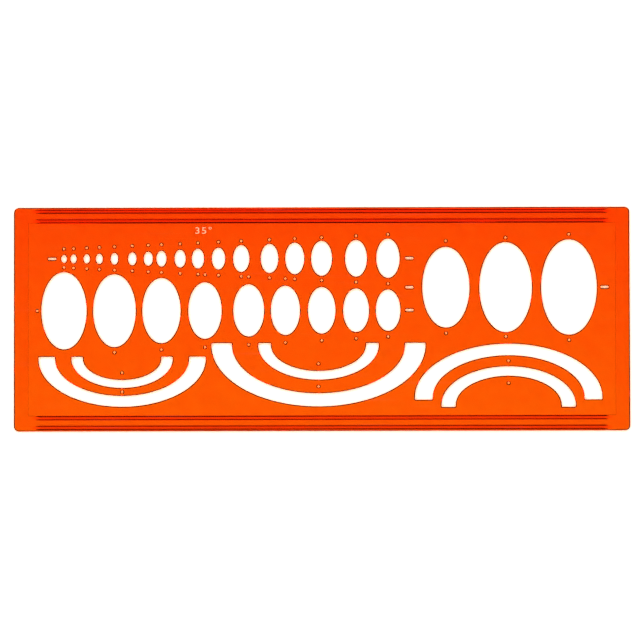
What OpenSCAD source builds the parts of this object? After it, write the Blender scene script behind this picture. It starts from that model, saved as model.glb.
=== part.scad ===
// Ellipse template: a thin moulded blank for drawing circles that are seen at a slant.
// Ellipses, arc slots, centre marks and index slots go right through its thin panel. A thicker
// border frames the panel, with a pair of ink ribs under each long edge. The top face is flat.
// Millimetres. +X runs along the blank, +Y points to the rear edge, where the small ellipses
// are, and +Z points up. The origin is in the middle of the footprint, where the rib feet rest.

/* [Blank] */
// Length of the blank
blank_l = 250; // [246:1:300]
// Width of the blank
blank_w = 91; // [88:0.5:110]
// Radius of the four corners
corner_r = 2; // [0.5:0.25:5]
// Thickness of the pierced panel
panel_t = 1.2; // [0.8:0.1:2]
// How much thicker than the panel the border is, on its underside
border_step = 0.1; // [0.05:0.05:0.6]
// Width of the border along each long edge
side_bar_w = 6.4; // [5:0.1:7]
// Width of the border at each short end
end_bar_w = 5.8; // [5:0.1:7]

/* [Ink ribs] */
// Height of a rib below the border
rib_h = 0.75; // [0.4:0.05:1.2]
// Width of a rib where it leaves the border
rib_root_w = 1.9; // [1.2:0.1:2.2]
// Width of the flat foot of a rib
rib_foot_w = 0.8; // [0.4:0.05:1]
// Land between a long edge and the root of its outer rib
rib_edge_land = 0.55; // [0.2:0.05:0.8]
// Land between an end bar and the tip of a rib
rib_tip_land = 0.6; // [0.2:0.1:3]
// Length of the ramp at each end of a rib
rib_ramp_l = 4.2; // [2:0.1:8]

/* [Ellipses] */
// Angle at which the circles are seen
tilt = 35; // [32:0.5:37]
// Play for the pen: the amount that each ellipse is larger than its drawn size, both ways
pen_play = 0.75; // [0.5:0.05:0.9]
// Land between the rear bar and the first small ellipse
rear_land = 12.8; // [12:0.1:15]
// Land between the first ellipse of the small row and the first of the middle row
row_land = 3.85; // [3.5:0.05:5]
// Land between the first ellipse of the middle row and the ends of the left arcs
arc_land = 3.1; // [2:0.1:5]
// Land between the largest ellipse and the right end bar
right_land = 7.6; // [7:0.1:10]
// Land between the rear bar and the second ellipse of the large row
large_rear_land = 7.95; // [7:0.05:10]
// Land between the second ellipse of the large row and the crown of the right arcs
large_front_land = 4.75; // [3.5:0.05:6]

/* [Arc slots] */
// Land between the front bar and the left and middle arcs
front_land = 3.6; // [2.5:0.1:5]
// Land between the front bar and the ends of the right inner arc
right_front_land = 3.25; // [2.5:0.05:5]
// How much farther from the front bar the ends of the right outer arc lie than the inner one's
right_arc_step = 3; // [2:0.1:3.5]
// Land between the right arcs and the right end bar
arc_right_land = 5.5; // [4:0.1:8]
// How far the inner edge of an arc slot is drawn in from a true ellipse
arc_relief = 1.25; // [0.8:0.05:1.6]
// Straight length by which each arc runs past the half ellipse
arc_overrun = 0.85; // [0.6:0.05:1.5]
// Radius of the corners of an arc slot
arc_corner_r = 0.4; // [0.2:0.05:0.5]

/* [Marks] */
// Diameter of a centre mark
mark_d = 0.95; // [0.6:0.05:1.2]
// Width of an index slot
index_w = 0.95; // [0.6:0.05:1.2]
// Length of an index slot over its round ends
index_l = 3.3; // [2:0.1:4]
// Share of the free land that lies between an ellipse and its index slot
index_share = 0.36; // [0.2:0.02:0.6]
// Distance from the first ellipse of the middle row to the mark on its left
side_mark_land = 1.75; // [1:0.05:2.5]
// Distance from the inner edge of an inner arc slot to the mark that it surrounds
arc_mark_land = 3; // [1.5:0.1:5]

/* [Hidden] */
$fn = 96;

// A cut runs this far past both faces of what it goes through.
cut_past = 1;

// Drawn sizes of the ellipses in each row, and the land on the left of each one. The large row
// carries the middle row's chain of columns on to the right.
middle_sizes = [30.6, 28.8, 25.7, 22.2, 20.4, 19.2, 18.1, 16.9, 16];
middle_lands = [5.4, 2.7, 2.7, 3.2, 4.8, 2.8, 3.3, 3.2, 2.8];
large_sizes = [32, 35.8, 38];
large_lands = [9, 4.1, 3.8];

// The small row stands over the same columns, and a fraction is a place on the way to the next.
small_sizes = [
    2.5, 2.8, 3, 3.4, 3.9, 4.5, 4.9, 5.6, 6.4, 7.2, 8, 10.1, 11, 12, 13.4, 14.1, 15.1
];
small_columns = [
    1, 1.19, 1.45, 1.7, 2, 2.38, 2.72, 3, 3.43, 3.84, 4.31, 4.83, 5.57, 6.26, 7, 8, 9
];

// The left, middle and right arcs: half the length of the edges of their two slots, and the
// land on their left. The right arcs nest beside the middle ones, so their land is negative.
outer_slot_outer_edges = [33.9, 43.4, 38];
outer_slot_inner_edges = [28.5, 36.4, 32.1];
inner_slot_outer_edges = [20.5, 24.4, 27.2];
inner_slot_inner_edges = [17.2, 20.6, 22.8];
arc_left_lands = [4.2, 2.4, -4.3];

// Distance from an ellipse to the centre of its mark, at the two ends of each row of marks.
rear_mark_lands = [2.4, 1.8];
front_mark_lands = [2.2, 2.4];
large_rear_mark_lands = [2.5, 2.1];
large_front_mark_lands = [2.3, 2.2];

// The columns of the middle row that have a mark beside the small row as well.
extra_mark_columns = [4, 5, 6];

border_t = panel_t + border_step;
border_z = rib_h;
panel_z = border_z + border_step;
field_l = blank_l - 2 * end_bar_w;
field_w = blank_w - 2 * side_bar_w;
field_left = -field_l / 2;
field_front = -field_w / 2;
field_rear = field_w / 2;

function minor(size) = size * sin(tilt) + pen_play;
function major(size) = size + pen_play;
function total(list, count, i = 0) = i < count ? list[i] + total(list, count, i + 1) : 0;
function sum(list) = total(list, len(list));
function between(a, b, f) = a + (b - a) * f;

// Columns along the blank. The lands stretch or shrink together so that they fill the field.
middle_n = len(middle_sizes);
column_w = [for (size = concat(middle_sizes, large_sizes)) minor(size)];
column_land = concat(middle_lands, large_lands);
column_n = len(column_w);
column_fit = (field_l - sum(column_w)) / (sum(column_land) + right_land);
column_x = [
    for (i = [0:column_n - 1])
        field_left + total(column_w, i) + column_w[i] / 2
        + total(column_land, i + 1) * column_fit
];
function at_column(c) =
    let (i = floor(c) - 1, f = c - floor(c))
    f == 0 ? column_x[i] : between(column_x[i], column_x[i + 1], f);
first_x = column_x[0];
last_x = column_x[middle_n - 1];
small_x = [for (c = small_columns) at_column(c)];
large_x = [for (i = [middle_n:column_n - 1]) column_x[i]];

// The arcs fill the field's length too, by growing alike and keeping their lands and widths.
arc_n = len(outer_slot_outer_edges);
arcs_l = 2 * sum(outer_slot_outer_edges) + sum(arc_left_lands) + arc_right_land;
arc_growth = (field_l - arcs_l) / (2 * arc_n);
outer_slots = [
    for (i = [0:arc_n - 1])
        [outer_slot_outer_edges[i] + arc_growth, outer_slot_inner_edges[i] + arc_growth]
];
inner_slots = [
    for (i = [0:arc_n - 1])
        [inner_slot_outer_edges[i] + arc_growth, inner_slot_inner_edges[i] + arc_growth]
];
arc_w = [for (s = outer_slots) 2 * s[0]];
arc_x = [
    for (i = [0:arc_n - 1])
        field_left + total(arc_w, i) + total(arc_left_lands, i + 1) + arc_w[i] / 2
];
function arc_rise(half) = half * sin(tilt);
function relieved_rise(half) = arc_rise(half) - arc_relief;

// Rows across the blank. Their lands stretch or shrink together to fill the field's width.
row_lands = [rear_land, row_land, arc_land, front_land];
row_solids = major(small_sizes[0]) + major(middle_sizes[0])
    + arc_rise(outer_slots[0][0]) + arc_overrun;
row_fit = (field_w - row_solids) / sum(row_lands);
small_y = field_rear - rear_land * row_fit - major(small_sizes[0]) / 2;
middle_y = small_y - major(small_sizes[0]) / 2 - row_land * row_fit
    - major(middle_sizes[0]) / 2;
arc_front_y = field_front + front_land * row_fit;
right_arc_y = field_front + right_front_land * row_fit + arc_overrun;
right_crown_y = right_arc_y + right_arc_step + arc_rise(outer_slots[2][0]);
large_fit = (field_rear - right_crown_y - major(large_sizes[1]))
    / (large_rear_land + large_front_land);
large_y = right_crown_y + large_front_land * large_fit + major(large_sizes[1]) / 2;

// The marks stand in straight rows. Each row is given by its x values and by the two points
// that its line goes through, which keep a set distance from the ellipses at its ends.
function on_line(x, from, to) = between(from[1], to[1], (x - from[0]) / (to[0] - from[0]));
function mark_row(row_x, from_x, from_y, to_x, to_y) =
    [for (x = row_x) [x, on_line(x, [from_x, from_y], [to_x, to_y])]];
function edge(row_y, size, side) = row_y + side * major(size) / 2;
last_small = small_sizes[len(small_sizes) - 1];
last_middle = middle_sizes[middle_n - 1];
rear_marks = mark_row(
    small_x,
    first_x, edge(small_y, small_sizes[0], 1) + rear_mark_lands[0] * row_fit,
    last_x, edge(small_y, last_small, 1) + rear_mark_lands[1] * row_fit
);
between_marks = mark_row(
    concat(small_x, [for (c = extra_mark_columns) at_column(c)]),
    first_x, between(edge(small_y, small_sizes[0], -1), edge(middle_y, middle_sizes[0], 1), 0.5),
    last_x, between(edge(small_y, last_small, -1), edge(middle_y, last_middle, 1), 0.5)
);
front_marks = mark_row(
    [for (i = [1:middle_n - 1]) column_x[i]],
    column_x[1], edge(middle_y, middle_sizes[1], -1) - front_mark_lands[0] * row_fit,
    last_x, edge(middle_y, last_middle, -1) - front_mark_lands[1] * row_fit
);
large_rear_marks = mark_row(
    large_x,
    large_x[0], edge(large_y, large_sizes[0], 1) + large_rear_mark_lands[0] * large_fit,
    large_x[2], edge(large_y, large_sizes[2], 1) + large_rear_mark_lands[1] * large_fit
);
large_front_marks = mark_row(
    large_x,
    large_x[0], edge(large_y, large_sizes[0], -1) - large_front_mark_lands[0] * large_fit,
    large_x[2], edge(large_y, large_sizes[2], -1) - large_front_mark_lands[1] * large_fit
);
side_mark = [first_x - minor(middle_sizes[0]) / 2 - side_mark_land * column_fit, middle_y];

// Index slots lie on the centre line of each row, beside its first and last ellipses.
index_land = (large_lands[0] * column_fit - index_l) * index_share;
index_end_land = (right_land * column_fit - index_l) * index_share;
left_index_x = first_x - minor(small_sizes[0]) / 2 - index_land - index_l / 2;
middle_index_x = last_x + minor(last_middle) / 2 + index_land + index_l / 2;
right_index_x = large_x[2] + minor(large_sizes[2]) / 2 + index_end_land + index_l / 2;
index_slots = [
    [left_index_x, small_y],
    [middle_index_x, small_y],
    [middle_index_x, large_y],
    [middle_index_x, middle_y],
    [right_index_x, large_y]
];

// An ellipse with its long axis across the blank, as wide as a circle seen at the tilt.
module ellipse_opening(x, y, size) {
    translate([x, y]) scale([minor(size), major(size)]) circle(d = 1);
}

module half_plane(reach) {
    translate([-reach, 0]) square([2 * reach, reach]);
}

// The straight end of an arc slot, from its inner to its outer edge, with rounded corners.
module slot_end(inner, outer) {
    r = arc_corner_r;
    translate([inner, 0]) square([outer - inner, arc_overrun - r]);
    translate([inner + r, 0]) square([outer - inner - 2 * r, arc_overrun]);
    for (x = [inner + r, outer - r])
        translate([x, arc_overrun - r]) circle(r = r);
}

// Half an elliptical ring that opens towards +Y. Its outer edge is a true ellipse.
module arc_slot(edges) {
    inner = edges[1] - arc_relief;
    difference() {
        scale([edges[0], arc_rise(edges[0])]) circle(r = 1);
        scale([inner, relieved_rise(edges[1])]) circle(r = 1);
        half_plane(edges[0] + cut_past);
    }
    for (side = [0, 1])
        mirror([side, 0]) slot_end(inner, edges[0]);
}

module mark(x, y) {
    translate([x, y]) circle(d = mark_d);
}

// One outer and one inner slot with their two marks, opening towards +Y. The outer slot's
// centre lies the given step in front of the inner one's.
module arc_pair(i, step) {
    translate([0, -step]) arc_slot(outer_slots[i]);
    arc_slot(inner_slots[i]);
    mark(0, arc_mark_land - relieved_rise(inner_slots[i][1]));
    mark(0, -between(arc_rise(inner_slots[i][0]), relieved_rise(outer_slots[i][1]) + step, 0.5));
}

module index_slot() {
    straight = index_l - index_w;
    square([straight, index_w], center = true);
    for (side = [-1, 1])
        translate([side * straight / 2, 0]) circle(d = index_w);
}

module openings() {
    for (i = [0:len(small_sizes) - 1])
        ellipse_opening(small_x[i], small_y, small_sizes[i]);
    for (i = [0:middle_n - 1])
        ellipse_opening(column_x[i], middle_y, middle_sizes[i]);
    for (i = [0:len(large_sizes) - 1])
        ellipse_opening(large_x[i], large_y, large_sizes[i]);
    for (row = [rear_marks, between_marks, front_marks, large_rear_marks, large_front_marks])
        for (m = row)
            mark(m[0], m[1]);
    mark(side_mark[0], side_mark[1]);
    for (s = index_slots)
        translate(s) index_slot();
    for (i = [0, 1])
        translate([arc_x[i], arc_front_y + arc_rise(outer_slots[i][0])])
            arc_pair(i, 0);
    translate([arc_x[2], right_arc_y]) mirror([0, 1]) arc_pair(2, right_arc_step);
}

module plastic() {
    color([0.98, 0.32, 0.03, 0.8]) children();
}

module pierced_panel() {
    plastic() translate([0, 0, panel_z]) linear_extrude(panel_t) difference() {
        square([field_l, field_w], center = true);
        openings();
    }
}

// A border bar along one long edge, between the end bars.
module edge_bar(side) {
    y = side * (blank_w - side_bar_w) / 2;
    plastic() translate([0, y, border_z + border_t / 2])
        cube([field_l, side_bar_w, border_t], center = true);
}

module end_outline() {
    square([end_bar_w - corner_r, blank_w]);
    translate([0, corner_r]) square([end_bar_w, blank_w - 2 * corner_r]);
    for (y = [corner_r, blank_w - corner_r])
        translate([end_bar_w - corner_r, y]) circle(r = corner_r);
}

// A border bar across one short end, with the blank's two rounded corners.
module end_bar(side) {
    plastic() mirror([side < 0 ? 1 : 0, 0, 0])
        translate([field_l / 2, -blank_w / 2, border_z]) linear_extrude(border_t) end_outline();
}

// Height of a rib's underside along its length, from tip to tip.
rib_half_l = field_l / 2 - rib_tip_land;
foot_half_l = rib_half_l - rib_ramp_l;
module rib_side_view() {
    polygon([[-rib_half_l, rib_h], [-foot_half_l, 0], [foot_half_l, 0], [rib_half_l, rib_h]]);
}

module rib_section() {
    root = rib_root_w / 2;
    foot = rib_foot_w / 2;
    polygon([[-root, rib_h], [-foot, 0], [foot, 0], [root, rib_h]]);
}

// Outline of a rib from below: it narrows along the ramps to the width of its foot.
module rib_plan() {
    root = rib_root_w / 2;
    foot = rib_foot_w / 2;
    polygon([
        [-rib_half_l, -foot], [-foot_half_l, -root], [foot_half_l, -root], [rib_half_l, -foot],
        [rib_half_l, foot], [foot_half_l, root], [-foot_half_l, root], [-rib_half_l, foot]
    ]);
}

// A rib under a long edge. Its centre line is given by its distance from that edge.
module ink_rib(side, from_edge) {
    plastic() translate([0, side * (blank_w / 2 - from_edge), 0]) intersection() {
        translate([0, rib_root_w / 2, 0]) rotate([90, 0, 0])
            linear_extrude(rib_root_w) rib_side_view();
        translate([-rib_half_l, 0, 0]) rotate([90, 0, 90])
            linear_extrude(2 * rib_half_l) rib_section();
        linear_extrude(rib_h) rib_plan();
    }
}
outer_rib_from_edge = rib_edge_land + rib_root_w / 2;
inner_rib_from_edge = side_bar_w - rib_root_w / 2;

module rear_edge_bar() { edge_bar(1); }
module front_edge_bar() { edge_bar(-1); }
module left_end_bar() { end_bar(-1); }
module right_end_bar() { end_bar(1); }
module rear_outer_rib() { ink_rib(1, outer_rib_from_edge); }
module rear_inner_rib() { ink_rib(1, inner_rib_from_edge); }
module front_inner_rib() { ink_rib(-1, inner_rib_from_edge); }
module front_outer_rib() { ink_rib(-1, outer_rib_from_edge); }

pierced_panel();
rear_edge_bar();
front_edge_bar();
left_end_bar();
right_end_bar();
rear_outer_rib();
rear_inner_rib();
front_inner_rib();
front_outer_rib();
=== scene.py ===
"""Looks for an ellipse template: one moulding of clear orange styrene with a painted angle figure.

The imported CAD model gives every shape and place. The moulding merges the CAD regions into one
solid, as the real one is, so that light crosses no wall between them. Lengths are in metres.
"""
import math

import bmesh
import bpy
from mathutils import Matrix, Quaternion, Vector


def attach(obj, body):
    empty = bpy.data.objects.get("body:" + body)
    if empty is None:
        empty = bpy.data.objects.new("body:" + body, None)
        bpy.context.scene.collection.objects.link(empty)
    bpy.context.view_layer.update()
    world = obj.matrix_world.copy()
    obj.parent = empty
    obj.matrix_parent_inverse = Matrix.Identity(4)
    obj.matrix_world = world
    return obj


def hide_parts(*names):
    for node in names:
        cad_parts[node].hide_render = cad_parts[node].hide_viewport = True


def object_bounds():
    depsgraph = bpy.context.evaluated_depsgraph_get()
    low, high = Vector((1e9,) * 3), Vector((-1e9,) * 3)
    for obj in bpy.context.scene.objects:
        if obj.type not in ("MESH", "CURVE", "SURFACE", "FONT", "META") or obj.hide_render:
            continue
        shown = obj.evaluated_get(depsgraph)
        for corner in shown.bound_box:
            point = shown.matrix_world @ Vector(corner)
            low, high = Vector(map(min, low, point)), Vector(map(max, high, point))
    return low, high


bl_info = {
    "name": "Ellipse Template Looks",
    "version": (1, 0, 0),
    "blender": (4, 5, 0),
    "location": "3D View > Sidebar > Template",
    "description": "Builds the see-through moulding, its angle figure and the stage",
    "category": "Object",
}

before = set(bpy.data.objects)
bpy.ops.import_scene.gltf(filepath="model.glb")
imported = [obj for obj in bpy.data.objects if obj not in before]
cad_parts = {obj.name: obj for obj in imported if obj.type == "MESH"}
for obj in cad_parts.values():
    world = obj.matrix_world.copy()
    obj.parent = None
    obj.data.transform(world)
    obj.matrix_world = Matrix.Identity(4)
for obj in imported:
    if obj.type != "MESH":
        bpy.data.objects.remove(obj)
bpy.context.view_layer.update()
CAD_LOW, CAD_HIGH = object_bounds()
MM = 0.001

# Vertices this near are one: first in each CAD region, then in the merged and new meshes
CAD_MERGE = 0.002 * MM
MERGE = 0.001 * MM
# How far a vertex of a rim may be off the rim's height
RIM_SLACK = 0.002 * MM
# The walls of the outline and the openings are this tall
WALL = (0.5 * MM, 5 * MM)
# Faces that turn by less than this are one flat face
FLAT_TURN = math.radians(0.5)
# A rim turns by more than this
RIM_TURN = math.radians(40)
# Faces that turn by less than this are shaded as one. A rib's ramp turns by 10 degrees and keeps
# its sharp edge, or its flanks catch light that the real ones don't
SMOOTH_TURN = math.radians(9)
# The fill of a flat face goes wrong where many vertices lie in line with an axis, so the mesh is
# turned by this for it
FILL_TURN = math.radians(41)
# Share of the step under the border that its bevel takes up
STEP_BEVEL = 0.8

# The engraving is this much wider than its paint, which lies between its floor and the top face
FIGURE_GAP = 0.05 * MM
PAINT_LIFT = 0.01 * MM
PAINT_DEPTH = 0.04 * MM
# Height of a digit of the plain typeface, as a share of the text's size
DIGIT_SHARE = 0.729

# The photo's camera: nearly above the template, at this scale and tilt
PHOTO_WIDTH = 640
PIXELS_PER_MM = 2.4636
CAMERA_AIM = (-0.76 * MM, -0.41 * MM)
CAMERA_DISTANCE = 3.0
CAMERA_TILT = math.radians(4)
CAMERA_ROLL = math.radians(-0.12)
SENSOR = 36


def linear(hex_colour):
    """Linear RGBA of an sRGB colour such as #FF8800."""
    channels = [int(hex_colour[i:i + 2], 16) / 255 for i in (1, 3, 5)]
    return [c / 12.92 if c <= 0.04045 else ((c + 0.055) / 1.055) ** 2.4 for c in channels] + [1.0]


def add_node(tree, kind, links=None, **settings):
    """Adds a shader node. A setting names a property of the node or one of its inputs, and
    links maps an input to the output socket that feeds it."""
    node = tree.nodes.new(kind)
    for name, value in settings.items():
        if hasattr(node, name):
            setattr(node, name, value)
        else:
            node.inputs[name.replace("_", " ")].default_value = value
    for name, source in (links or {}).items():
        tree.links.new(source, node.inputs[name])
    return node


def empty_material(name):
    material = bpy.data.materials.new(name)
    material.use_nodes = True
    material.node_tree.nodes.clear()
    return material, material.node_tree


def object_from_bmesh(bm, name):
    mesh = bpy.data.meshes.new(name)
    bm.to_mesh(mesh)
    bm.free()
    made = bpy.data.objects.new(name, mesh)
    bpy.context.scene.collection.objects.link(made)
    return made


def evaluated_bmesh(source):
    """The object's mesh with its modifiers applied, as a new bmesh."""
    bpy.context.view_layer.update()
    finished = source.evaluated_get(bpy.context.evaluated_depsgraph_get())
    mesh = bpy.data.meshes.new_from_object(finished)
    bm = bmesh.new()
    bm.from_mesh(mesh)
    bpy.data.meshes.remove(mesh)
    return bm


def discard(*objects):
    for gone in objects:
        data = gone.data
        bpy.data.objects.remove(gone)
        (bpy.data.meshes if isinstance(data, bpy.types.Mesh) else bpy.data.curves).remove(data)


def combine(target, others, operation):
    for other in others:
        modifier = target.modifiers.new(other.name, "BOOLEAN")
        modifier.operation = operation
        modifier.solver = "EXACT"
        modifier.object = other
    return evaluated_bmesh(target)


class TemplateSizes(bpy.types.PropertyGroup):
    rim_radius: bpy.props.FloatProperty(
        name="Rim radius", description="Rounding of the top edges and of the rib feet",
        default=0.08 * MM, min=0.02 * MM, max=0.1 * MM, unit="LENGTH", precision=5,
    )
    under_rim: bpy.props.FloatProperty(
        name="Under rim", description="Width of the bevel under the outline and every opening",
        default=0.38 * MM, min=0.05 * MM, max=0.45 * MM, unit="LENGTH", precision=5,
    )
    figure_height: bpy.props.FloatProperty(
        name="Figure height", description="Height of the digits of the angle figure",
        default=2.75 * MM, min=1.5 * MM, max=4 * MM, unit="LENGTH", precision=5,
    )
    figure_breadth: bpy.props.FloatProperty(
        name="Figure breadth", description="How much wider the digits are than the plain typeface",
        default=1.2, min=0.8, max=2,
    )
    figure_spacing: bpy.props.FloatProperty(
        name="Figure spacing", description="Spacing of the digits against the plain typeface",
        default=1.19, min=0.8, max=2,
    )
    figure_depth: bpy.props.FloatProperty(
        name="Figure depth", description="Depth of the engraved angle figure",
        default=0.2 * MM, min=0.05 * MM, max=0.4 * MM, unit="LENGTH", precision=5,
    )
    figure_place: bpy.props.FloatVectorProperty(
        name="Figure place", description="Left end of the angle figure's base line",
        default=(-51.6 * MM, 34.85 * MM), size=2, unit="LENGTH", precision=5,
    )


class TemplateFinish(bpy.types.PropertyGroup):
    absorbed: bpy.props.FloatProperty(
        name="Absorption", description="How fast the plastic takes up blue light, per metre",
        default=5000, min=500, max=12000,
    )
    tint: bpy.props.FloatVectorProperty(
        name="Tint", description="Colour that the plastic lets through",
        default=(0.98, 0.78, 0.0), size=3, subtype="COLOR", min=0, max=1,
    )
    roughness: bpy.props.FloatProperty(
        name="Roughness", description="Roughness of the moulded faces",
        default=0.03, min=0, max=0.3, subtype="FACTOR",
    )


class TemplateLight(bpy.types.PropertyGroup):
    band: bpy.props.FloatProperty(
        name="Band", description="Strength of the tent's bright band round the zenith",
        default=4.9, min=0, max=20,
    )
    cap: bpy.props.FloatProperty(
        name="Cap", description="Strength of the tent straight above, where the camera looks out",
        default=0.02, min=0, max=5,
    )
    low: bpy.props.FloatProperty(
        name="Low", description="Share of the band's strength that comes from low down",
        default=0.05, min=0, max=1, subtype="FACTOR",
    )
    lean: bpy.props.FloatVectorProperty(
        name="Lean", description="Direction from which the tent is brighter, and by how much",
        default=(-0.3, 0.2, 0), size=3, subtype="XYZ", min=-1, max=1,
    )


def clear_orange_styrene():
    """Clear polystyrene in a transparent orange, injection moulded against polished steel: glossy,
    with an even tint that deepens with thickness, and hair scratches from sliding on paper.
    The clouds in the tint are about 5.6 mm wide. The scratches are 1 mm apart and 50 mm long,
    far coarser than real ones, which wouldn't show."""
    finish = bpy.context.scene.template_finish
    material, tree = empty_material("injection_moulded_clear_orange_polystyrene")
    place = add_node(tree, "ShaderNodeTexCoord").outputs["Object"]
    cloud = add_node(
        tree, "ShaderNodeTexNoise", {"Vector": place}, Scale=180.0, Detail=3.0, Roughness=0.55
    )
    cloudy = add_node(
        tree, "ShaderNodeMapRange", {"Value": cloud.outputs["Fac"]},
        From_Min=0.35, From_Max=0.65, To_Min=0.0, To_Max=1.0,
    )
    tone = add_node(
        tree, "ShaderNodeMix", {"Factor": cloudy.outputs["Result"]},
        data_type="RGBA", A=linear("#FFFFFF"), B=linear("#FFF6F2"),
    )
    scratches = None
    for turn, per_metre in ((12, 900), (71, 1100), (-38, 1000)):
        lay = add_node(
            tree, "ShaderNodeMapping", {"Vector": place},
            Rotation=(0, 0, math.radians(turn)), Scale=(0.02, 1, 1),
        )
        hair = add_node(
            tree, "ShaderNodeTexNoise", {"Vector": lay.outputs["Vector"]},
            Scale=float(per_metre), Detail=1.0,
        )
        sharp = add_node(
            tree, "ShaderNodeMapRange", {"Value": hair.outputs["Fac"]},
            From_Min=0.68, From_Max=0.74, To_Min=0.0, To_Max=1.0,
        )
        one_way = sharp.outputs["Result"]
        scratches = one_way if scratches is None else add_node(
            tree, "ShaderNodeMath", {0: scratches, 1: one_way}, operation="MAXIMUM"
        ).outputs["Value"]
    rough = add_node(
        tree, "ShaderNodeMapRange", {"Value": scratches},
        To_Min=finish.roughness, To_Max=finish.roughness + 0.15,
    )
    dent = add_node(
        tree, "ShaderNodeBump", {"Height": scratches},
        Strength=0.15, Distance=0.02 * MM, invert=True,
    )
    surface = add_node(
        tree, "ShaderNodeBsdfPrincipled",
        {
            "Base Color": tone.outputs["Result"], "Roughness": rough.outputs["Result"],
            "Normal": dent.outputs["Normal"],
        },
        IOR=1.5,
    )
    surface.inputs["Transmission Weight"].default_value = 1.0
    inside = add_node(
        tree, "ShaderNodeVolumeAbsorption", Color=(*finish.tint, 1), Density=finish.absorbed
    )
    add_node(
        tree, "ShaderNodeOutputMaterial",
        {"Surface": surface.outputs["BSDF"], "Volume": inside.outputs["Volume"]},
    )
    return material


def pale_paint_with_painted_light():
    """Pale enamel wiped into the engraved figure: dull, slightly uneven, and a little orange with
    painted light from the plastic round it. Its grain is 0.4 mm wide."""
    material, tree = empty_material("wiped_pale_enamel_with_painted_light")
    place = add_node(tree, "ShaderNodeTexCoord").outputs["Object"]
    grain = add_node(
        tree, "ShaderNodeTexNoise", {"Vector": place}, Scale=2500.0, Detail=2.0
    )
    # The pale paint with painted light in it: tinted orange as if lit by the plastic round it, and
    # uneven with the grain
    tone = add_node(
        tree, "ShaderNodeMix", {"Factor": grain.outputs["Fac"]},
        data_type="RGBA", A=linear("#F4A272"), B=linear("#FBB78C"),
    )
    surface = add_node(
        tree, "ShaderNodeBsdfPrincipled", {"Base Color": tone.outputs["Result"]}, Roughness=0.55
    )
    add_node(tree, "ShaderNodeOutputMaterial", {"Surface": surface.outputs["BSDF"]})
    return material


def coated_white_paper_with_painted_glow():
    """White paper, coated and pressed smooth: matt from above, with a sheen at grazing angles.
    The light that falls through the template tints the paper more than the few light paths of a
    render show, so the paper glows in that tint: painted orange light, which shows where the
    paper is in shade round and under the template. Rays that have come through the plastic see
    painted light in place of most of the paper's own shading. That light is stronger in green
    towards the front, so the plastic looks yellower at the front and redder and darker towards the
    back."""
    material, tree = empty_material("white_paper_floor_with_painted_glow")
    through = add_node(tree, "ShaderNodeLightPath").outputs["Is Transmission Ray"]
    place = add_node(tree, "ShaderNodeTexCoord").outputs["Object"]
    # 0 at the front and 1 at the back: the mask for the gradient of the painted light
    rearward = add_node(
        tree, "ShaderNodeMapRange",
        {"Value": add_node(tree, "ShaderNodeSeparateXYZ", {"Vector": place}).outputs["Y"]},
        From_Min=CAD_LOW.y, From_Max=CAD_HIGH.y,
    )
    # Painted light seen through the plastic, stronger in green towards the front, so the plastic
    # is yellower at the front and redder and darker towards the back
    painted_light_under_plastic = add_node(
        tree, "ShaderNodeMix", {"Factor": rearward.outputs["Result"]},
        data_type="RGBA", A=linear("#F9A67C"), B=linear("#F9797C"),
    )
    # Painted orange light that the paper gives off, seen where the paper is in shade round and
    # under the template; rays through the plastic get the painted light above instead
    glow = add_node(
        tree, "ShaderNodeMix", {"Factor": through, "B": painted_light_under_plastic.outputs["Result"]},
        data_type="RGBA", A=linear("#FF7C3F"),
    )
    # Rays through the plastic see little of the paper's real shading, in favour of the painted
    # light
    white = add_node(
        tree, "ShaderNodeMix", {"Factor": through}, data_type="FLOAT", A=0.96, B=0.38
    )
    glowing = add_node(tree, "ShaderNodeEmission", {"Color": glow.outputs["Result"]})
    matt = add_node(tree, "ShaderNodeBsdfDiffuse", {"Color": white.outputs["Result"]})
    paper = add_node(
        tree, "ShaderNodeAddShader", {0: glowing.outputs[0], 1: matt.outputs[0]}
    )
    sheen = add_node(
        tree, "ShaderNodeBsdfGlossy", Color=linear("#FFFFFF"), Roughness=0.15
    )
    grazing = add_node(tree, "ShaderNodeFresnel", IOR=1.5)
    coated = add_node(
        tree, "ShaderNodeMixShader",
        {"Fac": grazing.outputs[0], 1: paper.outputs[0], 2: sheen.outputs[0]},
    )
    add_node(tree, "ShaderNodeOutputMaterial", {"Surface": coated.outputs[0]})
    return material


def light_tent():
    """A white tent over the template: a bright band 17 to 31 degrees from the zenith, a dark cap
    inside it and little light from low down. The camera sees plain white."""
    look = bpy.context.scene.template_light
    world = bpy.data.worlds.new("light_tent")
    world.use_nodes = True
    tree = world.node_tree
    tree.nodes.clear()
    direction = add_node(tree, "ShaderNodeTexCoord").outputs["Generated"]
    height = add_node(tree, "ShaderNodeSeparateXYZ", {"Vector": direction}).outputs["Z"]
    band = add_node(
        tree, "ShaderNodeMapRange", {"Value": height},
        From_Min=0.952, From_Max=0.962, To_Min=look.band, To_Max=look.cap,
    )
    skirt = add_node(
        tree, "ShaderNodeMapRange", {"Value": height},
        From_Min=0.8, From_Max=0.86, To_Min=look.low, To_Max=1.0,
    )
    side = add_node(tree, "ShaderNodeVectorMath", {0: direction}, operation="DOT_PRODUCT")
    side.inputs[1].default_value = look.lean
    leaning = add_node(
        tree, "ShaderNodeMath", {0: side.outputs["Value"]}, operation="ADD"
    )
    leaning.inputs[1].default_value = 1.0
    level = leaning.outputs["Value"]
    for factor in (band, skirt):
        level = add_node(
            tree, "ShaderNodeMath", {0: level, 1: factor.outputs["Result"]}, operation="MULTIPLY"
        ).outputs["Value"]
    seen = add_node(tree, "ShaderNodeLightPath").outputs["Is Camera Ray"]
    strength = add_node(
        tree, "ShaderNodeMix", {"Factor": seen, "A": level}, data_type="FLOAT", B=1.0
    )
    light = add_node(
        tree, "ShaderNodeBackground", {"Strength": strength.outputs["Result"]},
        Color=linear("#FFFFFF"),
    )
    add_node(tree, "ShaderNodeOutputWorld", {"Surface": light.outputs[0]})
    return world


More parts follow.
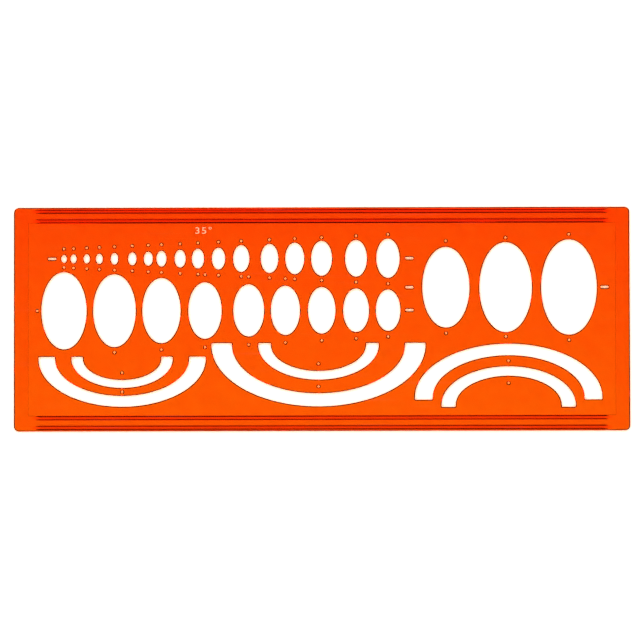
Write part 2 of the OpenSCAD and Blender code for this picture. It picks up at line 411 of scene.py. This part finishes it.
def photo_camera():
    lens = bpy.data.cameras.new("camera")
    camera = bpy.data.objects.new("camera", lens)
    bpy.context.scene.collection.objects.link(camera)
    back = Vector((0, -math.sin(CAMERA_TILT), math.cos(CAMERA_TILT)))
    camera.location = Vector((*CAMERA_AIM, CAD_HIGH.z)) + back * CAMERA_DISTANCE
    camera.rotation_mode = "QUATERNION"
    roll = Quaternion((0, 0, 1), CAMERA_ROLL)
    camera.rotation_quaternion = (-back).to_track_quat("-Z", "Y") @ roll
    lens.sensor_width = SENSOR
    lens.lens = SENSOR * CAMERA_DISTANCE / (PHOTO_WIDTH / PIXELS_PER_MM * MM)
    lens.clip_start, lens.clip_end = 0.1, 20
    return camera


def figure_solid(name, spread, low, high):
    """The angle figure as a solid between two heights, its outline moved out by the spread."""
    sizes = bpy.context.scene.template_sizes
    words = bpy.data.curves.new(name, "FONT")
    words.body = "35°"
    words.size = sizes.figure_height / DIGIT_SHARE
    words.offset = spread
    words.extrude = (high - low) / 2
    words.resolution_u = 6
    words.space_character = sizes.figure_spacing
    shown = bpy.data.objects.new(name, words)
    bpy.context.scene.collection.objects.link(shown)
    bm = evaluated_bmesh(shown)
    discard(shown)
    bmesh.ops.remove_doubles(bm, verts=bm.verts, dist=MERGE)
    bmesh.ops.recalc_face_normals(bm, faces=bm.faces)
    place = Matrix.Translation((*sizes.figure_place, (high + low) / 2))
    wide = Matrix.Diagonal((sizes.figure_breadth, 1, 1, 1))
    bmesh.ops.transform(bm, matrix=place @ wide, verts=bm.verts)
    return object_from_bmesh(bm, name)


def bevel_rims(bm, level, width, segments, drop=WALL):
    """Bevels the outward corners at one height whose wall is as tall as the drop says."""
    rims = [
        edge for edge in bm.edges
        if edge.is_convex and edge.calc_face_angle(0) > RIM_TURN
        and all(abs(vert.co.z - level) < RIM_SLACK for vert in edge.verts)
        and drop[0] < max(
            abs(vert.co.z - level) for face in edge.link_faces for vert in face.verts
        ) < drop[1]
    ]
    bmesh.ops.bevel(
        bm, geom=rims, offset=width, segments=segments, profile=0.5,
        affect="EDGES", clamp_overlap=False, material=-1,
    )


def refill_level(bm, level, up, chamfer=0):
    """Fills the flat face at one height again with triangles, because a single face round sixty
    openings doesn't always draw right, and cuts a chamfer round its openings first. Both
    operators need larger numbers than metres, so the mesh is in millimetres for them."""
    bmesh.ops.scale(bm, vec=(1 / MM,) * 3, verts=bm.verts)
    level, chamfer, slack, wall = level / MM, chamfer / MM, MERGE / MM, WALL[0] / MM

    def at_level(part):
        return all(abs(vert.co.z - level) < slack for vert in part.verts)

    def level_faces():
        return [face for face in bm.faces if at_level(face)]

    if chamfer:
        ring = bmesh.ops.inset_region(
            bm, faces=level_faces(), thickness=chamfer, use_even_offset=True, use_boundary=True
        )["faces"]
        walls = {
            vert for face in ring for vert in face.verts
            if any(up * (other.co.z - level) < -wall for f in vert.link_faces for other in f.verts)
        }
        bmesh.ops.translate(bm, vec=(0, 0, -up * chamfer), verts=list(walls))
    bmesh.ops.delete(bm, geom=level_faces(), context="FACES_KEEP_BOUNDARY")
    rims = [edge for edge in bm.edges if edge.is_boundary and at_level(edge)]
    turned = Matrix.Rotation(FILL_TURN, 3, "Z")
    bmesh.ops.rotate(bm, matrix=turned, verts=bm.verts)
    bmesh.ops.triangle_fill(
        bm, use_beauty=True, use_dissolve=False, edges=rims, normal=(0, 0, up)
    )
    bmesh.ops.rotate(bm, matrix=turned.transposed(), verts=bm.verts)
    bmesh.ops.scale(bm, vec=(MM,) * 3, verts=bm.verts)
    if any(not edge.is_manifold for edge in bm.edges):
        raise RuntimeError("a flat face of the moulding isn't closed")


class TEMPLATE_OT_moulding(bpy.types.Operator):
    """Merge the CAD regions into one moulding with rounded rims and the engraved figure"""

    bl_idname = "template.moulding"
    bl_label = "Moulding"

    def execute(self, context):
        sizes = context.scene.template_sizes
        regions = []
        for name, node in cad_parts.items():
            bm = bmesh.new()
            bm.from_mesh(node.data)
            bmesh.ops.remove_doubles(bm, verts=bm.verts, dist=CAD_MERGE)
            regions.append(object_from_bmesh(bm, "region_" + name))
        regions.sort(key=lambda region: region.name != "region_pierced_panel")
        bm = combine(regions[0], regions[1:], "UNION")
        discard(*regions)
        bmesh.ops.remove_doubles(bm, verts=bm.verts, dist=MERGE)
        bmesh.ops.dissolve_limit(bm, angle_limit=FLAT_TURN, verts=bm.verts, edges=bm.edges)
        top = CAD_HIGH.z
        under = {
            name: min(vert.co.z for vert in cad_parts[name].data.vertices)
            for name in ("pierced_panel", "left_end_bar")
        }
        step = under["pierced_panel"] - under["left_end_bar"]
        bevel_rims(bm, top, sizes.rim_radius, 2)
        bevel_rims(bm, 0, sizes.rim_radius, 2)
        bevel_rims(bm, under["left_end_bar"], sizes.under_rim, 1)
        bevel_rims(
            bm, under["left_end_bar"], STEP_BEVEL * step, 1, drop=(0.5 * step, 1.5 * step)
        )
        refill_level(bm, top, 1)
        refill_level(bm, under["left_end_bar"], -1)
        refill_level(bm, under["pierced_panel"], -1, sizes.under_rim)
        blank = object_from_bmesh(bm, "blank")
        cutter = figure_solid("figure_cutter", FIGURE_GAP, top - sizes.figure_depth, top + MM)
        bm = combine(blank, [cutter], "DIFFERENCE")
        discard(blank, cutter)
        for face in bm.faces:
            face.smooth = True
        for edge in bm.edges:
            edge.smooth = len(edge.link_faces) == 2 and edge.calc_face_angle(0) < SMOOTH_TURN
        moulding = object_from_bmesh(bm, "moulding")
        moulding.data.materials.append(clear_orange_styrene())
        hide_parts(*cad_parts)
        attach(moulding, "root")
        return {"FINISHED"}


class TEMPLATE_OT_figure(bpy.types.Operator):
    """Fill the engraved angle figure with pale paint"""

    bl_idname = "template.figure"
    bl_label = "Angle figure"

    def execute(self, context):
        sizes = context.scene.template_sizes
        top = CAD_HIGH.z
        paint = figure_solid(
            "angle_figure_paint", 0, top - sizes.figure_depth + PAINT_LIFT, top - PAINT_DEPTH
        )
        paint.data.materials.append(pale_paint_with_painted_light())
        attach(paint, "root")
        return {"FINISHED"}


class TEMPLATE_OT_stage(bpy.types.Operator):
    """Lay the white floor with its painted glow, light the scene and aim the camera"""

    bl_idname = "template.stage"
    bl_label = "Stage"

    def execute(self, context):
        scene = context.scene
        bm = bmesh.new()
        bmesh.ops.create_circle(
            bm, cap_ends=True, radius=8, segments=64,
            matrix=Matrix.Translation((0, 0, -0.05 * MM)),
        )
        floor = object_from_bmesh(bm, "floor")
        floor.data.materials.append(coated_white_paper_with_painted_glow())
        scene.world = light_tent()
        scene.camera = photo_camera()
        scene.view_settings.view_transform = "Standard"
        return {"FINISHED"}


class TEMPLATE_PT_looks(bpy.types.Panel):
    bl_idname = "TEMPLATE_PT_looks"
    bl_label = "Ellipse template"
    bl_space_type = "VIEW_3D"
    bl_region_type = "UI"
    bl_category = "Template"

    def draw(self, context):
        for group_name in GROUPS:
            group = getattr(context.scene, group_name)
            for name in group.__annotations__:
                self.layout.prop(group, name)
        for operator in OPERATORS:
            self.layout.operator(operator.bl_idname)


GROUPS = {
    "template_sizes": TemplateSizes,
    "template_finish": TemplateFinish,
    "template_light": TemplateLight,
}
OPERATORS = (TEMPLATE_OT_moulding, TEMPLATE_OT_figure, TEMPLATE_OT_stage)
CLASSES = (*GROUPS.values(), *OPERATORS, TEMPLATE_PT_looks)


def register():
    for cls in CLASSES:
        bpy.utils.register_class(cls)
    for name, group in GROUPS.items():
        setattr(bpy.types.Scene, name, bpy.props.PointerProperty(type=group))


def unregister():
    for name in GROUPS:
        delattr(bpy.types.Scene, name)
    for cls in reversed(CLASSES):
        bpy.utils.unregister_class(cls)


def main():
    register()
    bpy.ops.template.moulding()
    bpy.ops.template.figure()
    bpy.ops.template.stage()
    bpy.context.view_layer.update()


if __name__ == "__main__":
    main()
